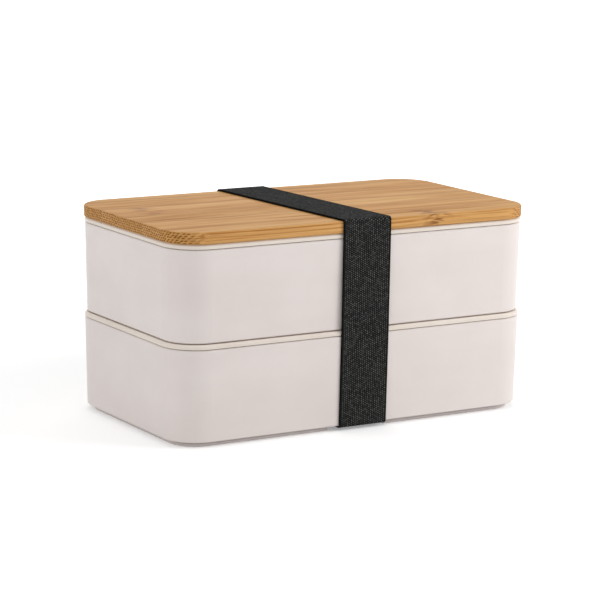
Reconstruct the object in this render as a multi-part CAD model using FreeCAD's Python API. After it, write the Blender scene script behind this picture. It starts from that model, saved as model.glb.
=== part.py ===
"""Two-tier bento lunch box: two stacked boxes, each closed by a sealed lid, a bamboo board on top
and an elastic band round the whole stack.

Frame: millimetres, +Z up, +X along the length, origin on the table under the middle of the base.
Every rim, lid, seal and foot follows one rounded rectangle, so most pieces are profiles swept round
it. A profile point is (inset, height), with the inset measured inwards from that outline, and after
them the kind and size of its corner where it isn't sharp.
"""

import FreeCAD, Part

import math
import os

from FreeCAD import Vector

# Outline that the lids and the box rims share
LENGTH = 186.0
WIDTH = 104.8
CORNER_RADIUS = 16.5

# Boxes: two copies of one moulding
BOX_HEIGHT = 43.7
WALL = 2.2
FLOOR = 2.2
WALL_LEAN = 1.0
RIM_BEVEL = 0.4
BASE_BEVEL = 0.5
FLOOR_ROUND = 3.0

# Feet: a ridge under each half of a box, open in the middle for the band
FOOT_HEIGHT = 2.4
FOOT_WIDTH = 2.4
FOOT_SETBACK = 3.5
FOOT_GAP = 30.0

# Sealed lids: two copies of one moulding
FLANGE = 2.0
FLANGE_BEVEL = 0.7
REVEAL = 0.4
REVEAL_DEPTH = 1.5
PLATE = 1.6
PLUG_DEPTH = 6.5
PLUG_WALL = 2.1
PLUG_BEVEL = 0.5
NEST_CLEARANCE = 0.3

# Seal in the groove round each lid's plug
GROOVE_HEIGHT = 2.4
GROOVE_DEPTH = 1.1
GROOVE_TOP = 2.8
SEAL_REACH = 0.7
SEAL_WALL_CLEARANCE = 0.2
SEAL_FIT = 0.05

# Bamboo board
BOARD_EDGE = 5.3
BOARD_OVERHANG = 0.45
BOARD_TOP_BEVEL = 0.5
BOARD_BEVEL = 0.4
BOARD_GAP = 0.2

# Divider that stands in the upper box and slides along it
DIVIDER_X = 24.0
DIVIDER_THICKNESS = 1.6
DIVIDER_CLEARANCE = 0.3
DIVIDER_LID_CLEARANCE = 1.0
DIVIDER_TOP_ROUND = 3.0
DIVIDER_FOOT_WIDTH = 9.0
DIVIDER_FOOT_HEIGHT = 1.4
FINGER_NOTCH_WIDTH = 34.0
FINGER_NOTCH_DEPTH = 6.0

# Elastic band
BAND_WIDTH = 25.0
BAND_THICKNESS = 0.8
BAND_CLEARANCE = 0.15
BAND_X = 1.0
BAND_SKEW = -5.0
LAP_LENGTH = 24.0
LAP_TAPER = 1.0

# Inset where a swept edge hands over to the flat middle of a floor, lid or board
MIDDLE_INSET = 10.0
BELT_STEPS = 1440

# Kinds of corner in a profile
ROUND = "round"
BEVEL = "bevel"

# Heights that follow from the sizes above
RIM_TO_FLANGE_TOP = REVEAL + FLANGE
NEST_DEPTH = FOOT_HEIGHT - REVEAL
NEST_INSET = WALL_LEAN + FOOT_SETBACK - NEST_CLEARANCE
LOWER_BOX_Z = 0.0
LOWER_RIM_Z = LOWER_BOX_Z + BOX_HEIGHT
UPPER_BOX_Z = LOWER_RIM_Z + RIM_TO_FLANGE_TOP - NEST_DEPTH
UPPER_RIM_Z = UPPER_BOX_Z + BOX_HEIGHT
BOARD_Z = UPPER_RIM_Z + RIM_TO_FLANGE_TOP + BOARD_GAP


def wall_inset(height):
    """Inset of a box's outer wall at a height above the bottom of its feet."""
    return WALL_LEAN * (BOX_HEIGHT - height) / (BOX_HEIGHT - FOOT_HEIGHT)


PLUG_INSET = WALL + wall_inset(BOX_HEIGHT - PLUG_DEPTH) + SEAL_WALL_CLEARANCE + SEAL_REACH


def outline(inset, z):
    """The shared rounded rectangle, drawn in by an inset, as a wire at height z."""
    half_length = LENGTH / 2 - inset
    half_width = WIDTH / 2 - inset
    radius = CORNER_RADIUS - inset
    along = half_length - radius
    across = half_width - radius
    mid = radius * math.sqrt(0.5)
    edges = [Part.LineSegment(Vector(half_length, 0, z), Vector(half_length, across, z)).toShape()]
    corners = ((along, across), (-along, across), (-along, -across), (along, -across))
    for number, (x, y) in enumerate(corners):
        quarter = FreeCAD.Rotation(Vector(0, 0, 1), 90 * number)
        centre = Vector(x, y, z)
        start = centre + quarter.multVec(Vector(radius, 0, 0))
        middle = centre + quarter.multVec(Vector(mid, mid, 0))
        end = centre + quarter.multVec(Vector(0, radius, 0))
        edges.append(Part.Arc(start, middle, end).toShape())
        next_x, next_y = corners[(number + 1) % len(corners)]
        following = Vector(next_x, next_y, z) + quarter.multVec(Vector(0, radius, 0))
        if number == len(corners) - 1:
            following = Vector(half_length, 0, z)
        edges.append(Part.LineSegment(end, following).toShape())
    return Part.Wire(edges)


def eased_polygon(points):
    """A closed wire through points, each (position) or (position, kind, size) where its corner is eased."""
    corners = []
    for number, (corner, *ease) in enumerate(points):
        if not ease:
            corners.append((corner, None, corner))
            continue
        kind, size = ease
        before = (points[number - 1][0] - corner).normalize()
        after = (points[(number + 1) % len(points)][0] - corner).normalize()
        if kind == BEVEL:
            corners.append((corner + before * size, None, corner + after * size))
            continue
        half_angle = before.getAngle(after) / 2
        reach = size / math.tan(half_angle)
        bisector = (before + after).normalize()
        middle = corner + bisector * (size / math.sin(half_angle) - size)
        corners.append((corner + before * reach, middle, corner + after * reach))
    edges = []
    for number, (start, middle, end) in enumerate(corners):
        if middle is not None:
            edges.append(Part.Arc(start, middle, end).toShape())
        elif start is not end:
            edges.append(Part.LineSegment(start, end).toShape())
        following = corners[(number + 1) % len(corners)][0]
        edges.append(Part.LineSegment(end, following).toShape())
    return Part.Wire(edges)


def swept_round(profile):
    """The solid that a closed profile makes when it goes round the outline."""
    points = [(Vector(LENGTH / 2 - inset, 0, z), *ease) for inset, z, *ease in profile]
    return outline(0, 0).makePipeShell([eased_polygon(points)], True, False)


def slab(inset, bottom, top):
    """A flat plate with the shared outline, drawn in by an inset."""
    return Part.Face(outline(inset, bottom)).extrude(Vector(0, 0, top - bottom))


def moved_up(shape, height):
    """A copy of a shape, lifted by a height."""
    copy = shape.copy()
    copy.translate(Vector(0, 0, height))
    return copy


def make_box():
    """One moulded box: leaning walls, a floor with a round inside edge, and two foot ridges."""
    floor_top = FOOT_HEIGHT + FLOOR
    shell = swept_round([
        (WALL_LEAN, FOOT_HEIGHT, BEVEL, BASE_BEVEL),
        (0, BOX_HEIGHT, BEVEL, RIM_BEVEL),
        (WALL, BOX_HEIGHT),
        (WALL + wall_inset(floor_top), floor_top, ROUND, FLOOR_ROUND),
        (MIDDLE_INSET, floor_top),
        (MIDDLE_INSET, FOOT_HEIGHT),
    ])
    shell = shell.fuse(slab(MIDDLE_INSET, FOOT_HEIGHT, floor_top))
    foot_inset = WALL_LEAN + FOOT_SETBACK
    ridge = swept_round([
        (foot_inset, 0),
        (foot_inset, FOOT_HEIGHT + FLOOR / 2),
        (foot_inset + FOOT_WIDTH, FOOT_HEIGHT + FLOOR / 2),
        (foot_inset + FOOT_WIDTH, 0),
    ])
    gap = Part.makeBox(FOOT_GAP, WIDTH, FOOT_HEIGHT, Vector(-FOOT_GAP / 2, -WIDTH / 2, 0))
    return shell.fuse(ridge.cut(gap)).removeSplitter()


def make_lid():
    """One sealed lid, with its rim seat at height 0: flange, nest for the feet above, plug and groove."""
    nest_floor = RIM_TO_FLANGE_TOP - NEST_DEPTH
    plate_bottom = nest_floor - PLATE
    plug_inner = PLUG_INSET + PLUG_WALL
    groove_floor = PLUG_INSET + GROOVE_DEPTH
    edge = swept_round([
        (0, REVEAL),
        (0, RIM_TO_FLANGE_TOP, BEVEL, FLANGE_BEVEL),
        (NEST_INSET, RIM_TO_FLANGE_TOP),
        (NEST_INSET, nest_floor),
        (MIDDLE_INSET, nest_floor),
        (MIDDLE_INSET, plate_bottom),
        (plug_inner, plate_bottom),
        (plug_inner, -PLUG_DEPTH),
        (PLUG_INSET, -PLUG_DEPTH, BEVEL, PLUG_BEVEL),
        (PLUG_INSET, -GROOVE_TOP - GROOVE_HEIGHT),
        (groove_floor, -GROOVE_TOP - GROOVE_HEIGHT),
        (groove_floor, -GROOVE_TOP),
        (PLUG_INSET, -GROOVE_TOP),
        (PLUG_INSET, 0),
        (REVEAL_DEPTH, 0),
        (REVEAL_DEPTH, REVEAL),
    ])
    return edge.fuse(slab(MIDDLE_INSET, plate_bottom, nest_floor)).removeSplitter()


def make_seal():
    """The two-lipped seal in a lid's groove, at the lid's own heights."""
    back = PLUG_INSET + GROOVE_DEPTH - SEAL_FIT
    tip = PLUG_INSET - SEAL_REACH
    top = -GROOVE_TOP - SEAL_FIT
    bottom = -GROOVE_TOP - GROOVE_HEIGHT + SEAL_FIT
    lip = (top - bottom) / 4
    upper_lip = top - lip
    lower_lip = bottom + lip
    middle = (top + bottom) / 2
    return swept_round([
        (back, bottom),
        (PLUG_INSET, bottom),
        (tip, lower_lip),
        (PLUG_INSET, middle),
        (tip, upper_lip),
        (PLUG_INSET, top),
        (back, top),
    ])


def make_board():
    """The bamboo board: a slab with rounded edges and a spigot below that sits in the lid's nest."""
    spigot_inset = NEST_INSET + NEST_CLEARANCE
    spigot_bottom = -NEST_DEPTH - BOARD_GAP
    edge = swept_round([
        (-BOARD_OVERHANG, 0, BEVEL, BOARD_BEVEL),
        (-BOARD_OVERHANG, BOARD_EDGE, BEVEL, BOARD_TOP_BEVEL),
        (MIDDLE_INSET, BOARD_EDGE),
        (MIDDLE_INSET, spigot_bottom),
        (spigot_inset, spigot_bottom),
        (spigot_inset, 0),
    ])
    return edge.fuse(slab(MIDDLE_INSET, spigot_bottom, BOARD_EDGE)).removeSplitter()


def make_divider():
    """The divider at the upper box's own heights: a web with a finger notch, on a wide low foot."""
    floor_top = FOOT_HEIGHT + FLOOR
    top = BOX_HEIGHT - PLUG_DEPTH - DIVIDER_LID_CLEARANCE
    foot_half = WIDTH / 2 - WALL - wall_inset(floor_top) - DIVIDER_CLEARANCE
    top_half = WIDTH / 2 - WALL - wall_inset(top) - DIVIDER_CLEARANCE
    notch_half = FINGER_NOTCH_WIDTH / 2
    notch_round = (notch_half**2 + FINGER_NOTCH_DEPTH**2) / (2 * FINGER_NOTCH_DEPTH)
    web = Part.Face(eased_polygon([
        (Vector(0, -foot_half, floor_top), ROUND, FLOOR_ROUND),
        (Vector(0, foot_half, floor_top), ROUND, FLOOR_ROUND),
        (Vector(0, top_half, top), ROUND, DIVIDER_TOP_ROUND),
        (Vector(0, -top_half, top), ROUND, DIVIDER_TOP_ROUND),
    ]))
    notch_centre = Vector(-DIVIDER_FOOT_WIDTH, 0, top - FINGER_NOTCH_DEPTH + notch_round)
    notch = Part.makeCylinder(notch_round, 2 * DIVIDER_FOOT_WIDTH, notch_centre, Vector(1, 0, 0))
    plate = web.extrude(Vector(DIVIDER_THICKNESS, 0, 0))
    plate.translate(Vector(-DIVIDER_THICKNESS / 2, 0, 0))
    foot = web.extrude(Vector(DIVIDER_FOOT_WIDTH, 0, 0))
    foot.translate(Vector(-DIVIDER_FOOT_WIDTH / 2, 0, 0))
    corner = Vector(-DIVIDER_FOOT_WIDTH / 2, -WIDTH / 2, floor_top)
    foot = foot.common(Part.makeBox(DIVIDER_FOOT_WIDTH, WIDTH, DIVIDER_FOOT_HEIGHT, corner))
    divider = plate.cut(notch).fuse(foot).removeSplitter()
    divider.translate(Vector(DIVIDER_X, 0, 0))
    return divider


def band_contacts():
    """The eased edges that the band lies on, in the YZ plane, as circles (y, z, radius)."""
    base_half = WIDTH / 2 - WALL_LEAN
    flange_half = WIDTH / 2
    board_half = WIDTH / 2 + BOARD_OVERHANG
    flange_top = LOWER_RIM_Z + RIM_TO_FLANGE_TOP
    back = [
        (base_half - BASE_BEVEL, FOOT_HEIGHT + BASE_BEVEL, BASE_BEVEL),
        (flange_half - FLANGE_BEVEL, flange_top - FLANGE_BEVEL, FLANGE_BEVEL),
        (board_half - BOARD_BEVEL, BOARD_Z + BOARD_BEVEL, BOARD_BEVEL),
        (board_half - BOARD_TOP_BEVEL, BOARD_Z + BOARD_EDGE - BOARD_TOP_BEVEL, BOARD_TOP_BEVEL),
    ]
    return back + [(-y, z, radius) for y, z, radius in back]


def belt_turns(contacts):
    """The contacts that a taut belt touches, anticlockwise, each with the angles where it turns."""
    def reach(number, angle):
        y, z, radius = contacts[number]
        return y * math.cos(angle) + z * math.sin(angle) + radius

    touched = []
    for step in range(BELT_STEPS):
        angle = 2 * math.pi * step / BELT_STEPS
        furthest = max(range(len(contacts)), key=lambda number: reach(number, angle))
        if not touched or touched[-1] != furthest:
            touched.append(furthest)
    if touched[0] == touched[-1]:
        touched.pop()
    leaves = []
    for number, here in enumerate(touched):
        y, z, radius = contacts[here]
        next_y, next_z, next_radius = contacts[touched[(number + 1) % len(touched)]]
        distance = math.hypot(next_y - y, next_z - z)
        heading = math.atan2(next_z - z, next_y - y)
        leaves.append(heading - math.acos((radius - next_radius) / distance))
    return [(contacts[here], leaves[number - 1], leaves[number]) for number, here in enumerate(touched)]


def belt_point(contact, angle, offset):
    """The point of a belt at an offset outside a contact, at an angle round it."""
    y, z, radius = contact
    return Vector(0, y + (radius + offset) * math.cos(angle), z + (radius + offset) * math.sin(angle))


def belt_wire(turns, offset):
    """The closed line of a belt that runs at an offset outside its contacts."""
    edges = []
    for number, (contact, arrives, leaves) in enumerate(turns):
        turn = (leaves - arrives) % (2 * math.pi)
        start, middle, end = (belt_point(contact, arrives + turn * share, offset) for share in (0, 0.5, 1))
        edges.append(Part.Arc(start, middle, end).toShape())
        next_contact, next_arrives, _ = turns[(number + 1) % len(turns)]
        edges.append(Part.LineSegment(end, belt_point(next_contact, next_arrives, offset)).toShape())
    return Part.Wire(edges)


def band_space():
    """The space that the band's width takes: square to the box in front and below, aslant on the board."""
    half = BAND_WIDTH / 2
    skewed = BAND_X + BAND_SKEW
    back = WIDTH / 2 - WALL_LEAN - BASE_BEVEL
    board_middle = BOARD_Z + BOARD_EDGE / 2
    above = BOARD_Z + 2 * BOARD_EDGE
    front = Part.makeBox(BAND_WIDTH, WIDTH + back, board_middle, Vector(BAND_X - half, -WIDTH, 0))
    over_board = Part.Face(Part.makePolygon([
        Vector(BAND_X - half, -WIDTH, board_middle),
        Vector(BAND_X + half, -WIDTH, board_middle),
        Vector(BAND_X + half, -back, board_middle),
        Vector(skewed + half, back, board_middle),
        Vector(skewed - half, back, board_middle),
        Vector(BAND_X - half, -back, board_middle),
        Vector(BAND_X - half, -WIDTH, board_middle),
    ])).extrude(Vector(0, 0, above - board_middle))
    behind = Part.Face(Part.makePolygon([
        Vector(BAND_X - half, back, 0),
        Vector(BAND_X + half, back, 0),
        Vector(BAND_X + half, back, FOOT_HEIGHT),
        Vector(skewed + half, back, BOARD_Z),
        Vector(skewed + half, back, above),
        Vector(skewed - half, back, above),
        Vector(skewed - half, back, BOARD_Z),
        Vector(BAND_X - half, back, FOOT_HEIGHT),
        Vector(BAND_X - half, back, 0),
    ])).extrude(Vector(0, WIDTH, 0))
    return front.multiFuse([over_board, behind])


def make_band():
    """The band: a taut loop of webbing whose ends lap at the back, on the outside."""
    turns = belt_turns(band_contacts())
    outside = BAND_CLEARANCE + BAND_THICKNESS
    loop = Part.Face(belt_wire(turns, outside)).cut(Part.Face(belt_wire(turns, BAND_CLEARANCE)))
    runs = []
    for number, (contact, _, leaves) in enumerate(turns):
        next_contact, next_arrives, _ = turns[(number + 1) % len(turns)]
        runs.append((belt_point(contact, leaves, outside), belt_point(next_contact, next_arrives, outside)))
    back_runs = [run for run in runs if min(run[0].y, run[1].y) > 0]
    start, end = max(back_runs, key=lambda run: run[0].distanceToPoint(run[1]))
    along = (end - start).normalize()
    outwards = along.cross(Vector(1, 0, 0))
    if outwards.y < 0:
        outwards = -outwards
    middle = (start + end) / 2
    lap = Part.Face(Part.makePolygon([
        middle - along * (LAP_LENGTH / 2),
        middle - along * (LAP_LENGTH / 2 - LAP_TAPER) + outwards * BAND_THICKNESS,
        middle + along * (LAP_LENGTH / 2 - LAP_TAPER) + outwards * BAND_THICKNESS,
        middle + along * (LAP_LENGTH / 2),
        middle - along * (LAP_LENGTH / 2),
    ]))
    band = loop.extrude(Vector(LENGTH, 0, 0)).fuse(lap.extrude(Vector(LENGTH, 0, 0)))
    band.translate(Vector(-LENGTH / 2, 0, 0))
    return band.common(band_space()).removeSplitter()


def main():
    box = make_box()
    lid = make_lid()
    seal = make_seal()
    nodes = {
        "lower_box": moved_up(box, LOWER_BOX_Z),
        "lower_seal_lid": moved_up(lid, LOWER_RIM_Z),
        "lower_gasket": moved_up(seal, LOWER_RIM_Z),
        "upper_box": moved_up(box, UPPER_BOX_Z),
        "upper_divider": moved_up(make_divider(), UPPER_BOX_Z),
        "upper_seal_lid": moved_up(lid, UPPER_RIM_Z),
        "upper_gasket": moved_up(seal, UPPER_RIM_Z),
        "bamboo_lid": moved_up(make_board(), BOARD_Z),
        "elastic_band": make_band(),
    }
    os.makedirs("parts", exist_ok=True)
    for name, shape in nodes.items():
        shape.exportStep(f"parts/{name}.step")
        box_of = shape.BoundBox
        print(
            f"{name}: valid {shape.isValid()}, solids {len(shape.Solids)}, faces {len(shape.Faces)}, "
            f"volume {shape.Volume / 1000:.2f} cm3, z {box_of.ZMin:.2f} to {box_of.ZMax:.2f}"
        )


main()
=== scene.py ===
"""The looks of a two-tier bento lunch box with a bamboo board and an elastic band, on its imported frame."""

import math

import bmesh
import bpy
from mathutils import Matrix, Vector


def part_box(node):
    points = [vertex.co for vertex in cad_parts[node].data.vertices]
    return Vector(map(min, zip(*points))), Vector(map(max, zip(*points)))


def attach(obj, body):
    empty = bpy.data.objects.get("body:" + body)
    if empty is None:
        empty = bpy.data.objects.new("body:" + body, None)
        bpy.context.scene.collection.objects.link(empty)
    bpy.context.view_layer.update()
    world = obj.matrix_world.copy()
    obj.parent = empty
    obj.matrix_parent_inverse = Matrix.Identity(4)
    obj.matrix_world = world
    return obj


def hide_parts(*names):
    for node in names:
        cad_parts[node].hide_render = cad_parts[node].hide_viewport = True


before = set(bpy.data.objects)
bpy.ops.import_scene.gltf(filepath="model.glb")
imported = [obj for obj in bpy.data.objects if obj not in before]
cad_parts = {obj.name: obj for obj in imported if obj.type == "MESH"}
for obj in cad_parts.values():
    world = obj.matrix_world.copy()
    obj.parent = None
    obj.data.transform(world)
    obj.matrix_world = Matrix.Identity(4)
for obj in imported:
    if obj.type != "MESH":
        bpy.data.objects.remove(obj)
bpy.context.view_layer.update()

MM = 0.001


def srgb(red, green, blue):
    """A linear colour from the 0 to 255 values that it should show as."""
    def linear(value):
        share = value / 255
        return share / 12.92 if share <= 0.04045 else ((share + 0.055) / 1.055) ** 2.4
    return (linear(red), linear(green), linear(blue), 1.0)


# Camera, from the perspective of the photograph, with its angles in degrees
IMAGE_WIDTH = 600
SENSOR = 36.0
FOCAL_PIXELS = 2557.0
CAMERA_AZIMUTH = -30.858
CAMERA_ELEVATION = 10.789
CAMERA_ROLL = 0.746
CAMERA_DISTANCE = 1190.2 * MM
TARGET_HEIGHT = 48.0 * MM
TARGET_RIGHT = -1.33 * MM
TARGET_UP = 2.38 * MM

# Area lights: name, place, aim, size and power
LIGHTS = (
    ("key", (0.46, -0.4, 0.34), (0.05, -0.03, 0.05), 0.35, 1.9),
    ("fill", (-0.8, -0.2, 0.6), (0, 0, 0.05), 0.8, 2.4),
    ("rear", (0.2, 0.75, 0.8), (0, 0, 0.05), 0.8, 2.0),
)

# World and floor: the light that the world gives, how bright it shows, and the floor's own glow from
# near the object to further away
WHITE = (1, 1, 1, 1)
WORLD_LIGHT = 0.55
WORLD_SHOWN = 1.0
FLOOR_DARK, FLOOR_LIGHT = (0.86, 0.86, 0.86, 1), (0.88, 0.88, 0.88, 1)
FLOOR_CLOUD = 4.0
FLOOR_HALF = 6.0
GLOW_NEAR, GLOW_FAR = 0.15, 0.8
GLOW_LOW, GLOW_HIGH = 0.3, 0.8

# Edges that the band lies on, with their sizes in the CAD
WALL_LEAN = 1.0 * MM
FOOT_HEIGHT = 2.4 * MM
BASE_EASE = 0.5 * MM
FLANGE_EASE = 0.7 * MM
BOARD_EASE = 0.4 * MM
BOARD_TOP_EASE = 0.5 * MM
BOARD_GAP = 0.2 * MM
BOX_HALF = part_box("lower_box")[1][1]
FLANGE_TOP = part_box("lower_seal_lid")[1][2]
BOARD_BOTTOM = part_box("upper_seal_lid")[1][2] + BOARD_GAP
BOARD_HALF, BOARD_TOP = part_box("bamboo_lid")[1][1:]

# Band
BAND_X = 1.0 * MM
BAND_WIDTH = 25.0 * MM
BAND_THICKNESS = 0.8 * MM
BAND_CLEARANCE = 0.15 * MM
BAND_SKEW = -5.0 * MM
BELT_STEPS = 1440

# Lapped end: its length, and the length and share of the thickness to which it thins at its ends
LAP_LENGTH = 24.0 * MM
LAP_TAPER = 1.0 * MM
LAP_END = 0.55

# Weave: widths of a column and a pick, the mesh's steps, and how the yarns rise and dive
COLUMN = 1.0 * MM
PICK = 1.0 * MM
ROW_STEP = PICK / 3
SAMPLES_ACROSS = 72
INNER_STEPS = 6
EDGE_STEPS = 4
SELVEDGE = 0.9 * MM
RELIEF = 0.1 * MM
RELIEF_SINK = 0.6
DIVE_SHARE = 0.35
YARN_LEAN = 0.25

# Stitches across the lap
STITCH_ROWS = (-8.0 * MM, -5.6 * MM, 5.6 * MM, 8.0 * MM)
STITCH_MARGIN = 1.6 * MM
STITCH_PITCH = 1.9 * MM
STITCH_SWING = 0.75 * MM
STITCH_STEPS = 4
STITCH_DIP = 1.1
STITCH_PROUD = 0.7
THREAD_RADIUS = 0.27 * MM
THREAD_SIDES = 8
THREAD_LAY = 0.7 * MM

# Plastic: scales of its patterns per metre, and the depth of its grain
BOX_LIGHT, BOX_DEEP, BOX_ROUGH = srgb(229, 220, 216), srgb(224, 214, 210), 0.42
LID_LIGHT, LID_DEEP, LID_ROUGH = srgb(231, 221, 210), srgb(225, 213, 201), 0.40
PLASTIC_CLOUD = 38.0
PLASTIC_FLOW = (9.0, 9.0, 60.0)
PLASTIC_GLOSS = 120.0
PLASTIC_GRAIN = 2600.0
GRAIN_DEPTH = 0.02 * MM

# Feet: scuffs where they stand, and painted shade on their upright faces under the base
SCUFF = srgb(150, 142, 136)
SCUFF_CLOUD = 700.0
SCUFF_FULL = 0.05 * MM
SCUFF_END = 0.5 * MM
PAINTED_FOOT_SHADE = srgb(92, 87, 83)
PAINTED_SHADE_REACH = 1.4 * MM
PAINTED_SHADE_FULL = 0.7 * MM
PAINTED_SHADE_END = 0.1 * MM
PAINTED_SHADE_STRENGTH = 0.8

# Silicone: scales of its patterns per metre
SILICONE_DEEP, SILICONE_LIGHT = srgb(214, 212, 206), srgb(228, 226, 220)
SILICONE_CLOUD = 55.0
SILICONE_GLOSS = 200.0
SILICONE_GRAIN = 1800.0
SILICONE_SCATTER = 2.0 * MM

# Bamboo: its strips and how they wave, and the scales of its patterns along and across, per metre
STRIP_WIDTH = 20.5 * MM
STRIP_START = -38.5 * MM
WAVE_ACROSS = 5.0 * MM
WAVE_UP = 2.0 * MM
WAVES = (8.0, 24.0)
BROAD_STREAKS = (8.0, 130.0)
FINE_STREAKS = (24.0, 620.0)
HAIR_STREAKS = (45.0, 2400.0)
SIDE_LINES = (10.0, 1150.0)
SMALL_DASHES = (150.0, 800.0)
LARGE_DASHES = (70.0, 520.0)
VESSELS_ACROSS, VESSELS_UP = 580.0, 1000.0
VESSEL_STAGGER = 0.5
FIBRE_DEPTH = 0.15 * MM
FIBRE_TONES = ((0.36, srgb(149, 96, 39)), (0.45, srgb(186, 132, 68)),
               (0.53, srgb(203, 153, 89)), (0.64, srgb(214, 169, 107)))
STRIP_TINT = srgb(202, 148, 94)
SIDE_TINT = srgb(226, 175, 112)
SIDE_LINE_TONE = srgb(172, 104, 44)
SEAM_TONE = srgb(138, 88, 40)
END_TINT = srgb(204, 152, 88)
END_SHADE = srgb(218, 190, 150)
VESSEL_TONE = srgb(104, 64, 28)
KNUCKLE_TONE = srgb(124, 74, 32)

# The two knuckles that show: place along the board and number of the strip, then the size of both
FRONT_KNUCKLE = (39.0 * MM, -1.0)
LEFT_KNUCKLE = (-75.5 * MM, 2.0)
KNUCKLE_WAVES = 260.0
KNUCKLE_WANDER = 5.0 * MM
KNUCKLE_LINE = 1.3 * MM
KNUCKLE_NEAR = 1.0 * MM
KNUCKLE_FAR = 9.0 * MM

# Yarn and thread: tones, scales of the fuzz in columns and picks, and depths of the bumps
YARN_DARK, YARN_MIDDLE, YARN_LIGHT = srgb(9, 9, 9), srgb(36, 37, 36), srgb(104, 104, 102)
YARN_FUZZ = (3.6, 2.9, 1.0)
YARN_DEPTH = 0.08 * MM
THREAD_DARK, THREAD_LIGHT = srgb(52, 52, 52), srgb(112, 111, 109)
PLY_DEPTH = 0.05 * MM


class Graph:
    """A material's node tree, with short calls to add a node and to feed its sockets."""

    def __init__(self, name):
        self.material = bpy.data.materials.new(name)
        self.material.use_nodes = True
        self.tree = self.material.node_tree
        self.tree.nodes.clear()
        self.output = self.tree.nodes.new("ShaderNodeOutputMaterial")

    def feed(self, node, socket, value):
        target = node.inputs[socket]
        if isinstance(value, bpy.types.NodeSocket):
            self.tree.links.new(value, target)
        else:
            target.default_value = value

    def add(self, kind, inputs=None, **settings):
        node = self.tree.nodes.new(kind)
        for key, value in settings.items():
            setattr(node, key, value)
        for socket, value in (inputs or {}).items():
            self.feed(node, socket, value)
        return node

    def position(self):
        return self.add("ShaderNodeTexCoord").outputs["Object"]

    def normal(self):
        return self.add("ShaderNodeTexCoord").outputs["Normal"]

    def split(self, vector):
        return self.add("ShaderNodeSeparateXYZ", {0: vector}).outputs

    def joined(self, x, y, z=0.0):
        return self.add("ShaderNodeCombineXYZ", {0: x, 1: y, 2: z}).outputs[0]

    def moved(self, vector, offset):
        inputs = {0: vector, 1: offset}
        return self.add("ShaderNodeVectorMath", inputs, operation="ADD").outputs[0]

    def stretched(self, vector, scale):
        inputs = {0: vector, 1: scale}
        return self.add("ShaderNodeVectorMath", inputs, operation="MULTIPLY").outputs[0]

    def math(self, operation, first, second=0.0):
        return self.add("ShaderNodeMath", {0: first, 1: second}, operation=operation).outputs[0]

    def plus(self, first, second):
        return self.math("ADD", first, second)

    def less(self, first, second):
        return self.math("SUBTRACT", first, second)

    def times(self, first, second):
        return self.math("MULTIPLY", first, second)

    def larger(self, first, second):
        return self.math("MAXIMUM", first, second)

    def magnitude(self, value):
        return self.math("ABSOLUTE", value)

    def weighted(self, *parts):
        """The sum of (value, weight) parts."""
        total = self.times(*parts[0])
        for part in parts[1:]:
            total = self.plus(total, self.times(*part))
        return total

    def noise(self, vector, detail=2.0, rough=0.5):
        inputs = {"Vector": vector, "Scale": 1.0, "Detail": detail, "Roughness": rough}
        return self.add("ShaderNodeTexNoise", inputs).outputs["Fac"]

    def streaks(self, vector, scales, detail=2.0, rough=0.5):
        """Noise drawn out along X, from its scales along and across."""
        along, across = scales
        return self.noise(self.stretched(vector, (along, across, across)), detail, rough)

    def cloud(self, vector, scale, detail=2.0, rough=0.5):
        """Noise of one scale in all directions."""
        return self.noise(self.stretched(vector, (scale, scale, scale)), detail, rough)

    def ramp(self, value, stops):
        """A colour between the (place, colour) stops."""
        node = self.add("ShaderNodeValToRGB", {"Fac": value})
        elements = node.color_ramp.elements
        while len(elements) < len(stops):
            elements.new(0.5)
        for element, (place, colour) in zip(elements, stops):
            element.position = place
            element.color = colour
        return node.outputs["Color"]

    def span(self, value, low, high, out_low=0.0, out_high=1.0):
        """A value carried from one range to another, and kept inside it."""
        inputs = {"Value": value, "From Min": low, "From Max": high,
                  "To Min": out_low, "To Max": out_high}
        return self.add("ShaderNodeMapRange", inputs).outputs["Result"]

    def fade(self, value, low, high):
        """1 up to the low end of a range, and down to 0 at its high end."""
        return self.span(value, low, high, 1.0, 0.0)

    def mix(self, share, first, second, blend="MIX"):
        """A mix of two colours, whose sockets go by number because others have the same names."""
        node = self.add("ShaderNodeMix", data_type="RGBA", blend_type=blend)
        self.feed(node, 0, share)
        self.feed(node, 6, first)
        self.feed(node, 7, second)
        return node.outputs[2]

    def bump(self, height, distance, strength):
        inputs = {"Height": height, "Distance": distance, "Strength": strength}
        return self.add("ShaderNodeBump", inputs).outputs["Normal"]

    def surface(self, **inputs):
        """Ends the tree in a principled shader, with _ for the spaces in its sockets' names."""
        named = {key.replace("_", " "): value for key, value in inputs.items()}
        shader = self.add("ShaderNodeBsdfPrincipled", named)
        self.tree.links.new(shader.outputs["BSDF"], self.output.inputs["Surface"])
        return self.material


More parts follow.
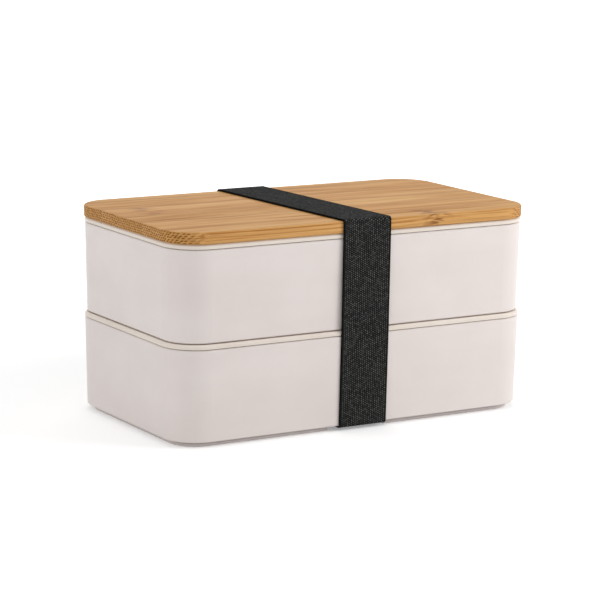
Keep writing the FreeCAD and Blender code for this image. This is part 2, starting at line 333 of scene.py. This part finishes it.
def plastic(name, colour, deep, rough):
    """Moulded satin plastic: slightly cloudy, with a fine spark-eroded grain and flow marks.

    The feet are scuffed where they stand, and their upright faces carry painted shade under the base.
    """
    g = Graph(name)
    place = g.position()
    height = g.split(place)[2]
    cloud = g.cloud(place, PLASTIC_CLOUD, 3.0, 0.55)
    flow = g.noise(g.stretched(place, PLASTIC_FLOW))
    shade = g.ramp(g.times(g.plus(cloud, flow), 0.5), ((0.36, deep), (0.62, colour)))

    worn = g.span(g.cloud(place, SCUFF_CLOUD, 3.0, 0.7), 0.45, 0.62)
    rubbed = g.times(g.fade(height, SCUFF_FULL, SCUFF_END), worn)
    shade = g.mix(g.times(rubbed, 0.3), shade, SCUFF)

    # Painted shade on the upright faces of the feet, darkest just under the base's overhang
    rising = g.span(height, FOOT_HEIGHT - PAINTED_SHADE_REACH, FOOT_HEIGHT - PAINTED_SHADE_FULL)
    ending = g.span(height, FOOT_HEIGHT, FOOT_HEIGHT + PAINTED_SHADE_END, PAINTED_SHADE_STRENGTH, 0.0)
    upright = g.fade(g.magnitude(g.split(g.normal())[2]), 0.3, 0.6)
    shade = g.mix(g.times(g.times(rising, ending), upright), shade, PAINTED_FOOT_SHADE)

    gloss = g.span(g.cloud(place, PLASTIC_GLOSS, 3.0), 0.3, 0.7, rough - 0.05, rough + 0.05)
    gloss = g.plus(gloss, g.times(rubbed, 0.25))
    normal = g.bump(g.cloud(place, PLASTIC_GRAIN, 2.0, 0.6), GRAIN_DEPTH, 0.55)
    return g.surface(Base_Color=shade, Roughness=gloss, Normal=normal, IOR=1.47)


def silicone(name):
    """Milky moulded silicone."""
    g = Graph(name)
    place = g.position()
    tones = ((0.35, SILICONE_DEEP), (0.65, SILICONE_LIGHT))
    shade = g.ramp(g.cloud(place, SILICONE_CLOUD, 3.0), tones)
    gloss = g.span(g.cloud(place, SILICONE_GLOSS), 0.3, 0.7, 0.42, 0.55)
    normal = g.bump(g.cloud(place, SILICONE_GRAIN), GRAIN_DEPTH, 0.5)
    return g.surface(Base_Color=shade, Roughness=gloss, Normal=normal, IOR=1.41,
                     Subsurface_Weight=0.15, Subsurface_Scale=SILICONE_SCATTER)


def knuckle(g, place, strip, x, wanted):
    """How near a point is to a strip's knuckle: to its cross line, and to the fibres it disturbs."""
    axes = g.split(place)
    waves = g.noise(g.joined(0.0, g.times(axes[1], KNUCKLE_WAVES)))
    wander = g.times(g.less(waves, 0.5), KNUCKLE_WANDER)
    distance = g.magnitude(g.plus(g.less(axes[0], x), wander))
    here = g.fade(g.magnitude(g.less(strip, wanted)), 0.4, 0.6)
    line = g.times(here, g.fade(distance, 0.0, KNUCKLE_LINE))
    upset = g.times(here, g.fade(distance, KNUCKLE_NEAR, KNUCKLE_FAR))
    return line, upset


def bamboo(name):
    """Pressed bamboo strips that run along X, with streaks of fibre, dotted ends and two knuckles."""
    g = Graph(name)
    flat = g.position()
    wave = g.less(g.streaks(flat, WAVES), 0.5)
    place = g.moved(flat, g.joined(0.0, g.times(wave, WAVE_ACROSS), g.times(wave, WAVE_UP)))
    share = g.math("DIVIDE", g.less(g.split(place)[1], STRIP_START), STRIP_WIDTH)
    strip = g.math("FLOOR", share)
    within = g.math("FRACT", share)
    tone = g.add("ShaderNodeTexWhiteNoise", {"W": strip}, noise_dimensions="1D").outputs["Value"]
    facing = g.split(g.normal())
    end = g.span(g.magnitude(facing[0]), 0.22, 0.75)
    side = g.span(g.magnitude(facing[1]), 0.5, 0.95)

    # Fibres, with a tint for each strip and fine lines along the sides
    broad = g.streaks(place, BROAD_STREAKS, 3.0, 0.6)
    fine = g.streaks(place, FINE_STREAKS, 3.0, 0.7)
    hair = g.streaks(place, HAIR_STREAKS, 2.0, 0.6)
    fibre = g.weighted((broad, 0.42), (fine, 0.38), (hair, 0.2))
    colour = g.ramp(fibre, FIBRE_TONES)
    colour = g.mix(g.span(tone, 0.0, 1.0, 0.0, 0.3), colour, STRIP_TINT)
    lines = g.span(g.streaks(place, SIDE_LINES, 2.0, 0.55), 0.5, 0.62)
    colour = g.mix(g.times(side, 0.5), colour, SIDE_TINT)
    colour = g.mix(g.times(lines, g.times(side, 0.75)), colour, SIDE_LINE_TONE)

    # Seams, and the darker fibres beside them
    seam = g.span(g.magnitude(g.less(within, 0.5)), 0.472, 0.49)
    beside = g.times(g.fade(within, 0.0, 0.2), g.span(broad, 0.35, 0.6, 0.15, 0.4))
    joint = g.larger(beside, g.times(seam, 0.45))
    joint = g.times(joint, g.span(end, 0.0, 1.0, 1.0, 0.35))
    colour = g.mix(joint, colour, SEAM_TONE)

    # Vessels in staggered rows, which run the whole length and show as dots at the ends
    _, across, upward = g.split(place)
    row = g.times(upward, VESSELS_UP)
    cut = g.joined(g.plus(g.times(across, VESSELS_ACROSS), g.times(row, VESSEL_STAGGER)), row)
    inputs = {"Vector": cut, "Scale": 1.0, "Randomness": 0.35}
    vessels = g.add("ShaderNodeTexVoronoi", inputs, voronoi_dimensions="2D")
    dots = g.fade(vessels.outputs["Distance"], 0.18, 0.45)
    strength = g.plus(g.weighted((end, 0.85), (side, 0.1)), 0.1)
    colour = g.mix(g.times(end, 0.5), colour, END_TINT)
    colour = g.mix(g.times(end, 0.1), colour, END_SHADE, "MULTIPLY")
    colour = g.mix(g.times(dots, strength), colour, VESSEL_TONE)

    # Knuckles: small dashes at the front one, larger dashes at the left one
    small_dashes = g.span(g.streaks(place, SMALL_DASHES, 1.0, 0.4), 0.5, 0.58)
    large_dashes = g.span(g.streaks(place, LARGE_DASHES, 1.0, 0.4), 0.5, 0.6)
    front_line, front_upset = knuckle(g, place, strip, *FRONT_KNUCKLE)
    left_line, left_upset = knuckle(g, place, strip, *LEFT_KNUCKLE)
    line = g.larger(front_line, g.times(left_line, 0.7))
    small_dashes = g.times(small_dashes, g.times(front_upset, 0.85))
    large_dashes = g.times(large_dashes, g.times(left_upset, 0.7))
    marks = g.larger(g.larger(small_dashes, large_dashes), g.times(line, 0.28))
    colour = g.mix(marks, colour, KNUCKLE_TONE)

    gloss = g.span(fibre, 0.35, 0.65, 0.6, 0.46)
    height = g.less(g.less(fibre, g.times(dots, 0.3)), g.times(marks, 0.3))
    normal = g.bump(height, FIBRE_DEPTH, 0.5)
    return g.surface(Base_Color=colour, Roughness=gloss, Normal=normal, Specular_IOR_Level=0.1)


def webbing(name):
    """Woven elastic: dull charcoal yarn, each stitch of its own grey, with dark edges."""
    g = Graph(name)
    weave = g.add("ShaderNodeAttribute", attribute_name="weave").outputs["Vector"]
    column, pick, outer = g.split(weave)
    wale = g.math("ROUND", column)
    course = g.plus(pick, g.times(wale, 0.5))
    stitch = {"Vector": g.joined(wale, g.math("ROUND", course))}
    yarn = g.add("ShaderNodeTexWhiteNoise", stitch, noise_dimensions="2D").outputs["Value"]
    across = g.math("COSINE", g.times(g.less(column, wale), math.tau))
    along = g.math("COSINE", g.times(course, math.tau))
    crown = g.span(g.plus(across, along), -2.0, 2.0)
    fuzz = g.noise(g.stretched(weave, YARN_FUZZ), 2.0, 0.7)
    grey = g.weighted((yarn, 0.22), (fuzz, 0.3), (g.times(crown, crown), 0.55))
    half = BAND_WIDTH / 2
    edge = g.span(g.magnitude(column), (half - SELVEDGE) / COLUMN, half / COLUMN)
    grey = g.times(grey, g.span(edge, 0.0, 0.6, 1.0, 0.35))
    grey = g.times(grey, g.span(outer, 0.0, 1.0, 0.7, 1.0))
    shade = g.ramp(grey, ((0.1, YARN_DARK), (0.48, YARN_MIDDLE), (0.85, YARN_LIGHT)))
    normal = g.bump(g.plus(fuzz, yarn), YARN_DEPTH, 0.6)
    return g.surface(Base_Color=shade, Roughness=0.95, Normal=normal, Specular_IOR_Level=0.05)


def thread(name):
    """Twisted sewing thread, a little paler than the band."""
    g = Graph(name)
    twist = g.add("ShaderNodeAttribute", attribute_name="twist").outputs["Vector"]
    around, along, _ = g.split(twist)
    turns = g.plus(around, g.math("DIVIDE", along, THREAD_LAY))
    ply = g.math("SINE", g.times(turns, math.tau))
    shade = g.ramp(g.span(ply, -1.0, 1.0), ((0.0, THREAD_DARK), (1.0, THREAD_LIGHT)))
    normal = g.bump(ply, PLY_DEPTH, 0.6)
    return g.surface(Base_Color=shade, Roughness=0.7, Normal=normal, Specular_IOR_Level=0.3)


def paint(nodes, material):
    """Gives CAD nodes their material."""
    for node in nodes:
        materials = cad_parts[node].data.materials
        materials.clear()
        materials.append(material)


def contacts():
    """The eased edges that the band lies on, in the YZ plane, as circles (y, z, radius)."""
    back = [
        (BOX_HALF - WALL_LEAN - BASE_EASE, FOOT_HEIGHT + BASE_EASE, BASE_EASE),
        (BOX_HALF - FLANGE_EASE, FLANGE_TOP - FLANGE_EASE, FLANGE_EASE),
        (BOARD_HALF - BOARD_EASE, BOARD_BOTTOM + BOARD_EASE, BOARD_EASE),
        (BOARD_HALF - BOARD_TOP_EASE, BOARD_TOP - BOARD_TOP_EASE, BOARD_TOP_EASE),
    ]
    return back + [(-y, z, radius) for y, z, radius in back]


def touched_edges():
    """The contacts that a taut line round them all touches, anticlockwise from +Y."""
    edges = contacts()
    touched = []
    for count in range(BELT_STEPS):
        angle = math.tau * count / BELT_STEPS
        y_share, z_share = math.cos(angle), math.sin(angle)
        furthest = max(edges, key=lambda edge: edge[0] * y_share + edge[1] * z_share + edge[2])
        if not touched or touched[-1] != furthest:
            touched.append(furthest)
    if touched[0] == touched[-1]:
        touched.pop()
    return touched


def leaving_angle(edge, following):
    """The angle of the normal where a taut line leaves one contact for the following one."""
    y, z, radius = edge
    next_y, next_z, next_radius = following
    distance = math.hypot(next_y - y, next_z - z)
    return math.atan2(next_z - z, next_y - y) - math.acos((radius - next_radius) / distance)


def belt(offset):
    """The turns and straight runs of a taut line at an offset outside the contacts."""
    edges = touched_edges()
    pairs = list(zip(edges, edges[1:] + edges[:1]))
    leaves = [leaving_angle(*pair) for pair in pairs]
    pieces = []
    for number, ((y, z, radius), (next_y, next_z, next_radius)) in enumerate(pairs):
        arrives, leaving = leaves[number - 1], leaves[number]
        turn = (leaving - arrives) % math.tau
        centre = Vector((0, y, z))
        pieces.append(("turn", (radius + offset) * turn, centre, radius + offset, arrives))
        normal = Vector((0, math.cos(leaving), math.sin(leaving)))
        start = centre + normal * (radius + offset)
        end = Vector((0, next_y, next_z)) + normal * (next_radius + offset)
        pieces.append(("run", (end - start).length, start, end, normal))
    return pieces


def belt_place(piece, along):
    """The point and outward normal at a length along one turn or run of a belt."""
    kind, length, first, second, third = piece
    if kind == "turn":
        angle = third + along / second
        normal = Vector((0, math.cos(angle), math.sin(angle)))
        return first + normal * second, normal
    return first.lerp(second, along / length), third


def closed_line(pieces):
    """Evenly spaced (point, normal, thickness share) round a whole belt, and its length."""
    total = sum(piece[1] for piece in pieces)
    count = round(total / ROW_STEP)
    line = []
    for index in range(count):
        along = total * index / count
        for piece in pieces:
            if along <= piece[1]:
                break
            along -= piece[1]
        line.append((*belt_place(piece, along), 1.0))
    return line, total


def back_run(pieces):
    """The longest straight run at the back."""
    behind = [p for p in pieces if p[0] == "run" and min(p[2].y, p[3].y) > 0]
    return max(behind, key=lambda p: p[1])


def lap_line(run):
    """The band's lapped end, as (point, normal, thickness share) along the middle of a run."""
    count = round(LAP_LENGTH / ROW_STEP)
    line = []
    for index in range(count + 1):
        along = LAP_LENGTH * index / count
        from_end = min(along, LAP_LENGTH - along)
        share = min(1.0, LAP_END + (1.0 - LAP_END) * from_end / LAP_TAPER)
        line.append((*belt_place(run, run[1] / 2 - LAP_LENGTH / 2 + along), share))
    return line


def shift_of(point):
    """How far the band lies to one side at a point.

    It is square in front and below, and aslant on the board and behind.
    """
    back = BOX_HALF - WALL_LEAN - BASE_EASE
    share = 0.0
    if point.y > back:
        share = (point.z - FOOT_HEIGHT) / (BOARD_BOTTOM - FOOT_HEIGHT)
    elif point.z > BOARD_BOTTOM:
        share = (point.y + back) / (2 * back)
    return BAND_X + BAND_SKEW * min(max(share, 0.0), 1.0)


def band_section():
    """The band's cross-section as (sideways, outward, relief share): a thin slab, round at its edges."""
    half, thick = BAND_WIDTH / 2, BAND_THICKNESS / 2
    inner = half - thick
    section = []
    for k in range(SAMPLES_ACROSS + 1):
        sideways = -inner + 2 * inner * k / SAMPLES_ACROSS
        section.append((sideways, thick, min(1.0, (inner - abs(sideways)) / SELVEDGE)))
    for k in range(1, EDGE_STEPS):
        angle = math.pi / 2 - math.pi * k / EDGE_STEPS
        section.append((inner + thick * math.cos(angle), thick * math.sin(angle), 0.0))
    for k in range(INNER_STEPS + 1):
        section.append((inner - 2 * inner * k / INNER_STEPS, -thick, 0.0))
    for k in range(1, EDGE_STEPS):
        angle = -math.pi / 2 - math.pi * k / EDGE_STEPS
        section.append((-inner + thick * math.cos(angle), thick * math.sin(angle), 0.0))
    return section


def add_mesh(name, vertices, faces, material, attribute, values):
    """A smooth-shaded mesh piece of the band, with one vector attribute."""
    mesh = bpy.data.meshes.new(name)
    mesh.from_pydata(vertices, [], faces)
    data = mesh.attributes.new(attribute, "FLOAT_VECTOR", "POINT").data
    data.foreach_set("vector", [value for triple in values for value in triple])
    edit = bmesh.new()
    edit.from_mesh(mesh)
    bmesh.ops.recalc_face_normals(edit, faces=edit.faces)
    edit.to_mesh(mesh)
    edit.free()
    for polygon in mesh.polygons:
        polygon.use_smooth = True
    mesh.materials.append(material)
    piece = bpy.data.objects.new(name, mesh)
    bpy.context.scene.collection.objects.link(piece)
    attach(piece, "band")
    return piece


def tube_faces(rows, width, closed):
    """The faces of a tube of rows of points, capped at both ends or closed on itself."""
    faces = []
    for row in range(rows if closed else rows - 1):
        here, following = row * width, (row + 1) % rows * width
        for k in range(width):
            side = (k + 1) % width
            faces.append((here + k, here + side, following + side, following + k))
    if not closed:
        last = (rows - 1) * width
        faces.append(tuple(range(width - 1, -1, -1)))
        faces.append(tuple(range(last, last + width)))
    return faces


def woven_relief(column, pick):
    """How high the weave stands at a place in columns and picks, as a share of its relief."""
    wale = round(column)
    inside = column - wale
    turn = pick + 0.5 * (wale % 2) + YARN_LEAN * inside - 0.5
    over = 0.5 + 0.5 * math.cos(math.tau * turn)
    return math.cos(math.pi * inside) * (DIVE_SHARE + (1.0 - DIVE_SHARE) * over) - RELIEF_SINK


def woven_strip(name, line, closed, material):
    """A strip of woven elastic along a line of (point, normal, thickness share), with a raised weave."""
    section = band_section()
    vertices, weave = [], []
    travelled = 0.0
    for index, (point, normal, thickness) in enumerate(line):
        if index:
            travelled += (point - line[index - 1][0]).length
        shift = shift_of(point)
        pick = travelled / PICK
        for sideways, outward, share in section:
            column = sideways / COLUMN
            relief = share * RELIEF * woven_relief(column, pick)
            height = (outward + BAND_THICKNESS / 2) * thickness - BAND_THICKNESS / 2
            aside = Vector((shift + sideways, 0, 0))
            vertices.append(point + aside + normal * (height + relief))
            weave.append((column, pick, 1.0 if outward > 0 else 0.0))
    faces = tube_faces(len(line), len(section), closed)
    return add_mesh(name, vertices, faces, material, "weave", weave)


def swing_at(k):
    """How far a zigzag stitch has swung at the k-th quarter of its way."""
    return STITCH_SWING * (0, 1, 0, -1)[k % 4]


def stitch_row(run, from_middle):
    """One zigzag row of stitches across the lap on a run, as the points of its thread."""
    half = BAND_WIDTH / 2 - STITCH_MARGIN
    count = round(2 * half / STITCH_PITCH)
    points = []
    for k in range(2 * count + 1):
        sideways = -half + half * k / count
        swing, to_swing = swing_at(k), swing_at(k + 1)
        for step in range(STITCH_STEPS):
            share = step / STITCH_STEPS
            along = run[1] / 2 + from_middle + swing + (to_swing - swing) * share
            point, normal = belt_place(run, along)
            sunk = STITCH_DIP * abs(math.sin(math.pi * (k + share) / 2)) - STITCH_PROUD
            aside = Vector((shift_of(point) + sideways + half * share / count, 0, 0))
            points.append(point + aside + normal * (BAND_THICKNESS / 2 - THREAD_RADIUS * sunk))
    return points


def thread_mesh(rows):
    """Tubes along rows of points, as vertices, faces and (around, along, 0) values."""
    vertices, faces, twist = [], [], []
    for points in rows:
        first = len(vertices)
        last = len(points) - 1
        travelled = 0.0
        for index, point in enumerate(points):
            if index:
                travelled += (point - points[index - 1]).length
            heading = (points[min(index + 1, last)] - points[max(index - 1, 0)]).normalized()
            across = heading.cross(Vector((0, 1, 0))).normalized()
            out = across.cross(heading)
            for k in range(THREAD_SIDES):
                angle = math.tau * k / THREAD_SIDES
                spoke = across * math.cos(angle) + out * math.sin(angle)
                vertices.append(point + spoke * THREAD_RADIUS)
                twist.append((k / THREAD_SIDES, travelled, 0.0))
        for face in tube_faces(len(points), THREAD_SIDES, False):
            faces.append(tuple(first + k for k in face))
    return vertices, faces, twist


def make_band():
    """The band, its lapped end at the back and the stitches that hold the lap."""
    elastic = webbing("elastic")
    line, length = closed_line(belt(BAND_CLEARANCE + BAND_THICKNESS / 2))
    over = back_run(belt(BAND_CLEARANCE + BAND_THICKNESS * 1.5))
    band = woven_strip("woven_band", line, True, elastic)
    lap = woven_strip("band_lap", lap_line(over), False, elastic)
    vertices, faces, twist = thread_mesh([stitch_row(over, row) for row in STITCH_ROWS])
    stitches = add_mesh("lap_stitches", vertices, faces, thread("thread"), "twist", twist)
    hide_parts("elastic_band")


def make_camera():
    """The photograph's camera, placed by its angles and its distance from the target."""
    azimuth, elevation, roll = map(math.radians, (CAMERA_AZIMUTH, CAMERA_ELEVATION, CAMERA_ROLL))
    back = Vector((math.sin(azimuth) * math.cos(elevation),
                   -math.cos(azimuth) * math.cos(elevation), math.sin(elevation)))
    level = Vector((math.cos(azimuth), math.sin(azimuth), 0))
    upright = back.cross(level)
    right = level * math.cos(roll) + upright * math.sin(roll)
    up = upright * math.cos(roll) - level * math.sin(roll)
    target = Vector((0, 0, TARGET_HEIGHT)) + right * TARGET_RIGHT + up * TARGET_UP
    data = bpy.data.cameras.new("camera")
    data.sensor_width = SENSOR
    data.lens = FOCAL_PIXELS * SENSOR / IMAGE_WIDTH
    camera = bpy.data.objects.new("camera", data)
    turn = Matrix((right, up, back)).transposed().to_4x4()
    camera.matrix_world = Matrix.Translation(target + back * CAMERA_DISTANCE) @ turn
    bpy.context.scene.collection.objects.link(camera)
    bpy.context.scene.camera = camera


def add_light(name, place, aim, size, power):
    """A square area light that faces its aim."""
    data = bpy.data.lights.new(name, "AREA")
    data.size = size
    data.energy = power
    light = bpy.data.objects.new(name, data)
    light.location = place
    light.rotation_euler = (Vector(aim) - Vector(place)).to_track_quat("-Z", "Y").to_euler()
    bpy.context.scene.collection.objects.link(light)


def seen_rays(tree):
    """1 for the rays that show a background: from the camera, off gloss or through glass."""
    path = tree.nodes.new("ShaderNodeLightPath")
    rays = path.outputs["Is Camera Ray"]
    for other in ("Is Glossy Ray", "Is Transmission Ray"):
        either = tree.nodes.new("ShaderNodeMath")
        either.operation = "MAXIMUM"
        tree.links.new(rays, either.inputs[0])
        tree.links.new(path.outputs[other], either.inputs[1])
        rays = either.outputs[0]
    return rays


def make_world():
    """A white world that lights the object at a plain level."""
    world = bpy.data.worlds.new("studio")
    bpy.context.scene.world = world
    world.use_nodes = True
    tree = world.node_tree
    tree.nodes.clear()
    output = tree.nodes.new("ShaderNodeOutputWorld")
    mix = tree.nodes.new("ShaderNodeMixShader")
    tree.links.new(seen_rays(tree), mix.inputs[0])
    for socket, strength in ((1, WORLD_LIGHT), (2, WORLD_SHOWN)):
        background = tree.nodes.new("ShaderNodeBackground")
        background.inputs["Color"].default_value = WHITE
        background.inputs["Strength"].default_value = strength
        tree.links.new(background.outputs[0], mix.inputs[socket])
    tree.links.new(mix.outputs[0], output.inputs["Surface"])


def make_floor():
    """A white floor that keeps the shadow under the object and turns plain white further away."""
    g = Graph("floor")
    place = g.position()
    shade = g.ramp(g.cloud(place, FLOOR_CLOUD), ((0.3, FLOOR_DARK), (0.7, FLOOR_LIGHT)))
    diffuse = g.add("ShaderNodeBsdfDiffuse", {"Color": shade})
    distance = g.add("ShaderNodeVectorMath", {0: place}, operation="LENGTH").outputs["Value"]
    glow = g.times(seen_rays(g.tree), g.span(distance, GLOW_NEAR, GLOW_FAR, GLOW_LOW, GLOW_HIGH))
    emission = g.add("ShaderNodeEmission", {"Color": WHITE, "Strength": glow})
    both = g.add("ShaderNodeAddShader", {0: diffuse.outputs[0], 1: emission.outputs[0]})
    g.tree.links.new(both.outputs[0], g.output.inputs["Surface"])
    mesh = bpy.data.meshes.new("floor")
    corners = [(x * FLOOR_HALF, y * FLOOR_HALF, 0) for x, y in ((-1, -1), (1, -1), (1, 1), (-1, 1))]
    mesh.from_pydata(corners, [], [(0, 1, 2, 3)])
    mesh.materials.append(g.material)
    floor = bpy.data.objects.new("floor", mesh)
    bpy.context.scene.collection.objects.link(floor)


def main():
    """Paints the CAD nodes, and adds the band, the camera, the stage and the lights."""
    bpy.context.scene.view_settings.view_transform = "Standard"
    box = plastic("box_plastic", BOX_LIGHT, BOX_DEEP, BOX_ROUGH)
    lid = plastic("lid_plastic", LID_LIGHT, LID_DEEP, LID_ROUGH)
    paint(("lower_box", "upper_box", "upper_divider"), box)
    paint(("lower_seal_lid", "upper_seal_lid"), lid)
    paint(("lower_gasket", "upper_gasket"), silicone("silicone"))
    paint(("bamboo_lid",), bamboo("bamboo"))
    make_band()
    make_camera()
    make_world()
    make_floor()
    for light in LIGHTS:
        add_light(*light)


main()
